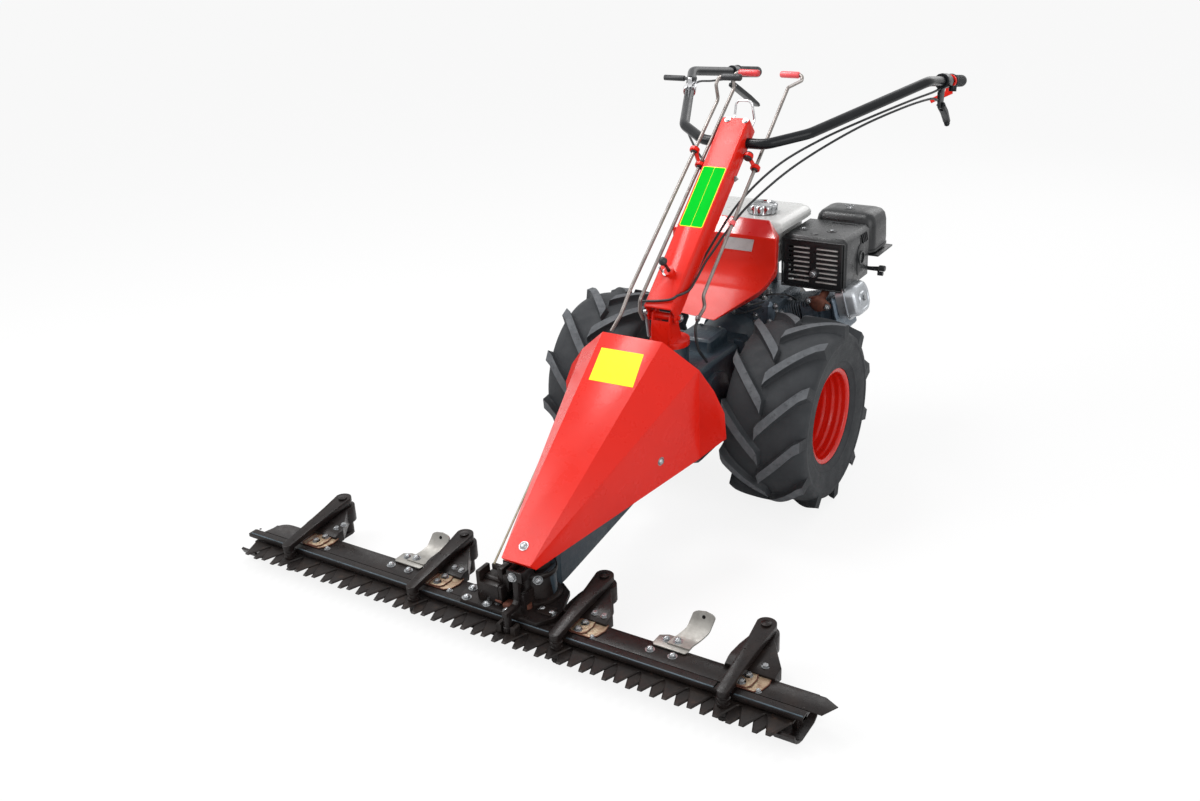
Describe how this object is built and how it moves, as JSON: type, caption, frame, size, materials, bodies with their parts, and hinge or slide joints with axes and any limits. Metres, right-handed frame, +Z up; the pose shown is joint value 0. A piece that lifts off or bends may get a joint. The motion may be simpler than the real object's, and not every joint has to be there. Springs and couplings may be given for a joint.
{
  "type": "two-wheel tractor",
  "caption": "Walk-behind two-wheel tractor with a petrol engine, lugged tyres, steering column and a front cutter bar with moving knives.",
  "frame": {"origin": "On the ground, under the middle of the box round the whole machine.", "axes": "+Z up; -Y the way the machine mows, with the cutter bar in front; +X the side of the exhaust, on the left hand of the operator, who stands at +Y and faces -Y. Left and right in the names of nodes, bodies and joints are as seen from the front, as in the picture: right is +X."},
  "size_m": [1.706, 2.248, 1.161],
  "materials": {
    "red_paint": "gloss",
    "rim_red": "gloss",
    "gearbox_paint": "satin",
    "black_paint": "satin",
    "zinc_steel": "satin",
    "cast_alloy": "satin",
    "tyre_rubber": "matte",
    "grip_rubber": "matte",
    "black_plastic": "matte",
    "tank_grey": "satin",
    "chrome": "polished",
    "rusty_brown": "matte"
  },
  "bodies": {
    "chassis": {"gearbox_housing": "gearbox_paint", "column_foot": "red_paint", "engine_crankcase": "cast_alloy", "cylinder": "cast_alloy", "valve_cover": "cast_alloy", "exhaust_pipe": "rusty_brown", "muffler": "zinc_steel", "muffler_cover": "black_paint", "air_cleaner_cover": "black_plastic", "carburettor": "cast_alloy", "fan_housing": "black_paint", "fuel_tank": "tank_grey", "engine_hood": "red_paint"},
    "wheel_left": {"tyre_left": "tyre_rubber", "rim_left": "rim_red", "axle_left": "zinc_steel"},
    "wheel_right": {"tyre_right": "tyre_rubber", "rim_right": "rim_red", "axle_right": "zinc_steel"},
    "crankshaft": {"crankshaft": "zinc_steel"},
    "main_shaft": {"main_shaft": "zinc_steel"},
    "mower_drive_shaft": {"mower_drive_shaft": "zinc_steel"},
    "mower": {"mower_beam": "gearbox_paint", "cutter_bar": "black_paint", "stubble_plate": "black_paint", "mower_shroud": "red_paint", "shroud_strip": "zinc_steel", "swath_bracket_left": "zinc_steel", "swath_bracket_right": "zinc_steel"},
    "knife_drive_lever": {"knife_drive_lever": "gearbox_paint"},
    "upper_knife": {"upper_knife": "zinc_steel"},
    "lower_knife": {"lower_knife": "zinc_steel"},
    "steering": {"column": "red_paint", "cable_guard": "chrome", "handlebar_tube": "black_paint", "grip_left": "grip_rubber", "grip_right": "grip_rubber", "brake_clamp": "black_paint", "brake_cable": "black_plastic", "throttle_cable": "black_plastic", "clutch_cable": "black_plastic"},
    "shift_rod_a": {"shift_rod_a": "zinc_steel"},
    "shift_rod_b": {"shift_rod_b": "zinc_steel"},
    "shift_rod_c": {"shift_rod_c": "zinc_steel"},
    "lock_plunger": {"lock_plunger": "black_plastic"},
    "clutch_lever": {"clutch_lever": "black_plastic"},
    "brake_lever": {"brake_lever": "black_paint"},
    "throttle_lever": {"throttle_lever": "red_paint"},
    "cable_lever": {"cable_lever": "black_plastic"},
    "choke_lever": {"choke_lever": "black_plastic"},
    "fuel_cap": {"fuel_cap": "chrome"},
    "starter_handle": {"starter_handle": "black_plastic"},
    "upper_arm_1": {"upper_arm_1": "black_paint"},
    "lower_arm_1": {"lower_arm_1": "black_paint"},
    "upper_arm_2": {"upper_arm_2": "black_paint"},
    "lower_arm_2": {"lower_arm_2": "black_paint"},
    "upper_arm_3": {"upper_arm_3": "black_paint"},
    "lower_arm_3": {"lower_arm_3": "black_paint"},
    "upper_arm_4": {"upper_arm_4": "black_paint"},
    "lower_arm_4": {"lower_arm_4": "black_paint"}
  },
  "joints": [
    {"name": "wheel_left_spin", "type": "hinge", "parent": "chassis", "child": "wheel_left", "pos_m": [-0.2395, -0.048, 0.27], "axis": [1, 0, 0], "continuous": true},
    {"name": "wheel_right_spin", "type": "hinge", "parent": "chassis", "child": "wheel_right", "pos_m": [0.3445, -0.048, 0.27], "axis": [1, 0, 0], "continuous": true},
    {"name": "crankshaft_spin", "type": "hinge", "parent": "chassis", "child": "crankshaft", "pos_m": [0.0525, 0.304, 0.365], "axis": [0, 1, 0], "continuous": true},
    {"name": "main_shaft_spin", "type": "hinge", "parent": "chassis", "child": "main_shaft", "pos_m": [0.0525, -0.048, 0.365], "axis": [0, 1, 0], "continuous": true},
    {"name": "mower_drive_spin", "type": "hinge", "parent": "chassis", "child": "mower_drive_shaft", "pos_m": [0.0525, -0.048, 0.205], "axis": [0, 1, 0], "continuous": true},
    {"name": "mower_pendulum", "type": "hinge", "parent": "chassis", "child": "mower", "pos_m": [0.0525, -0.413, 0.205], "axis": [0, 1, 0], "range_deg": [-5, 5]},
    {"name": "knife_drive", "type": "hinge", "parent": "mower", "child": "knife_drive_lever", "pos_m": [0.0525, -0.948, 0.165], "axis": [0, 0, 1], "range_deg": [-6.6, 6.6]},
    {"name": "upper_knife_stroke", "type": "slide", "parent": "mower", "child": "upper_knife", "axis": [1, 0, 0], "range_m": [-0.0154, 0.0154]},
    {"name": "lower_knife_stroke", "type": "slide", "parent": "mower", "child": "lower_knife", "axis": [1, 0, 0], "range_m": [-0.0154, 0.0154]},
    {"name": "upper_arm_1_swing", "type": "hinge", "parent": "mower", "child": "upper_arm_1", "pos_m": [-0.6765, -0.863, 0.126], "axis": [0, 0, 1], "range_deg": [-4.1, 4.1]},
    {"name": "lower_arm_1_swing", "type": "hinge", "parent": "mower", "child": "lower_arm_1", "pos_m": [-0.6765, -0.863, 0.014], "axis": [0, 0, 1], "range_deg": [-4.1, 4.1]},
    {"name": "upper_arm_2_swing", "type": "hinge", "parent": "mower", "child": "upper_arm_2", "pos_m": [-0.2425, -0.863, 0.126], "axis": [0, 0, 1], "range_deg": [-4.1, 4.1]},
    {"name": "lower_arm_2_swing", "type": "hinge", "parent": "mower", "child": "lower_arm_2", "pos_m": [-0.2425, -0.863, 0.014], "axis": [0, 0, 1], "range_deg": [-4.1, 4.1]},
    {"name": "upper_arm_3_swing", "type": "hinge", "parent": "mower", "child": "upper_arm_3", "pos_m": [0.1915, -0.863, 0.126], "axis": [0, 0, 1], "range_deg": [-4.1, 4.1]},
    {"name": "lower_arm_3_swing", "type": "hinge", "parent": "mower", "child": "lower_arm_3", "pos_m": [0.1915, -0.863, 0.014], "axis": [0, 0, 1], "range_deg": [-4.1, 4.1]},
    {"name": "upper_arm_4_swing", "type": "hinge", "parent": "mower", "child": "upper_arm_4", "pos_m": [0.6255, -0.863, 0.126], "axis": [0, 0, 1], "range_deg": [-4.1, 4.1]},
    {"name": "lower_arm_4_swing", "type": "hinge", "parent": "mower", "child": "lower_arm_4", "pos_m": [0.6255, -0.863, 0.014], "axis": [0, 0, 1], "range_deg": [-4.1, 4.1]},
    {"name": "handlebar_height", "type": "hinge", "parent": "chassis", "child": "steering", "pos_m": [0.0525, -0.288, 0.59], "axis": [1, 0, 0], "range_deg": [-8, 8]},
    {"name": "shift_rod_a_pull", "type": "slide", "parent": "steering", "child": "shift_rod_a", "axis": [0, 0.7858, 0.6185], "range_m": [-0.02, 0.02]},
    {"name": "shift_rod_b_pull", "type": "slide", "parent": "steering", "child": "shift_rod_b", "axis": [0, 0.7755, 0.6314], "range_m": [-0.02, 0.02]},
    {"name": "shift_rod_c_pull", "type": "slide", "parent": "steering", "child": "shift_rod_c", "axis": [0, 0.7597, 0.6502], "range_m": [-0.02, 0.02]},
    {"name": "lock_plunger_pull", "type": "slide", "parent": "steering", "child": "lock_plunger", "axis": [0, -0.6587, 0.7524], "range_m": [0, 0.012], "stiffness_N_per_m": 300, "springref_m": -0.01},
    {"name": "clutch_squeeze", "type": "hinge", "parent": "steering", "child": "clutch_lever", "pos_m": [-0.3335, 0.92, 0.996], "axis": [1, 0, 0], "range_deg": [0, 12], "stiffness_Nm_per_rad": 8, "springref_deg": -11.46},
    {"name": "brake_press", "type": "hinge", "parent": "steering", "child": "brake_lever", "pos_m": [0.4385, 0.824, 0.984], "axis": [1, 0, 0], "range_deg": [0, 25], "stiffness_Nm_per_rad": 5, "springref_deg": -11.46},
    {"name": "throttle_turn", "type": "hinge", "parent": "steering", "child": "throttle_lever", "pos_m": [0.43194, 0.92496, 1.04248], "axis": [-0.0651, 0.9861, -0.1527], "range_deg": [-15, 30]},
    {"name": "cable_lever_lift", "type": "hinge", "parent": "steering", "child": "cable_lever", "pos_m": [-0.26026, 0.4806, 1.08932], "axis": [0, 1, 0], "range_deg": [0, 35]},
    {"name": "choke_turn", "type": "hinge", "parent": "chassis", "child": "choke_lever", "pos_m": [0.28564, 0.4059, 0.4651], "axis": [1, 0, 0], "range_deg": [-8, 25]},
    {"name": "fuel_cap_twist", "type": "hinge", "parent": "chassis", "child": "fuel_cap", "pos_m": [0.0725, 0.297, 0.735], "axis": [0, 0, 1], "range_deg": [0, 90]},
    {"name": "starter_pull", "type": "slide", "parent": "chassis", "child": "starter_handle", "axis": [-0.7986, 0, 0.6018], "range_m": [0, 0.06], "stiffness_N_per_m": 30, "springref_m": -0.05}
  ],
  "couplings": [
    {"joint": "upper_knife_stroke", "follows": "knife_drive", "m_per_rad": 0.132},
    {"joint": "lower_knife_stroke", "follows": "knife_drive", "m_per_rad": -0.132},
    {"joint": "upper_arm_1_swing", "follows": "knife_drive", "ratio": 0.60829},
    {"joint": "lower_arm_1_swing", "follows": "knife_drive", "ratio": -0.60829},
    {"joint": "upper_arm_2_swing", "follows": "knife_drive", "ratio": 0.60829},
    {"joint": "lower_arm_2_swing", "follows": "knife_drive", "ratio": -0.60829},
    {"joint": "upper_arm_3_swing", "follows": "knife_drive", "ratio": 0.60829},
    {"joint": "lower_arm_3_swing", "follows": "knife_drive", "ratio": -0.60829},
    {"joint": "upper_arm_4_swing", "follows": "knife_drive", "ratio": 0.60829},
    {"joint": "lower_arm_4_swing", "follows": "knife_drive", "ratio": -0.60829}
  ]
}
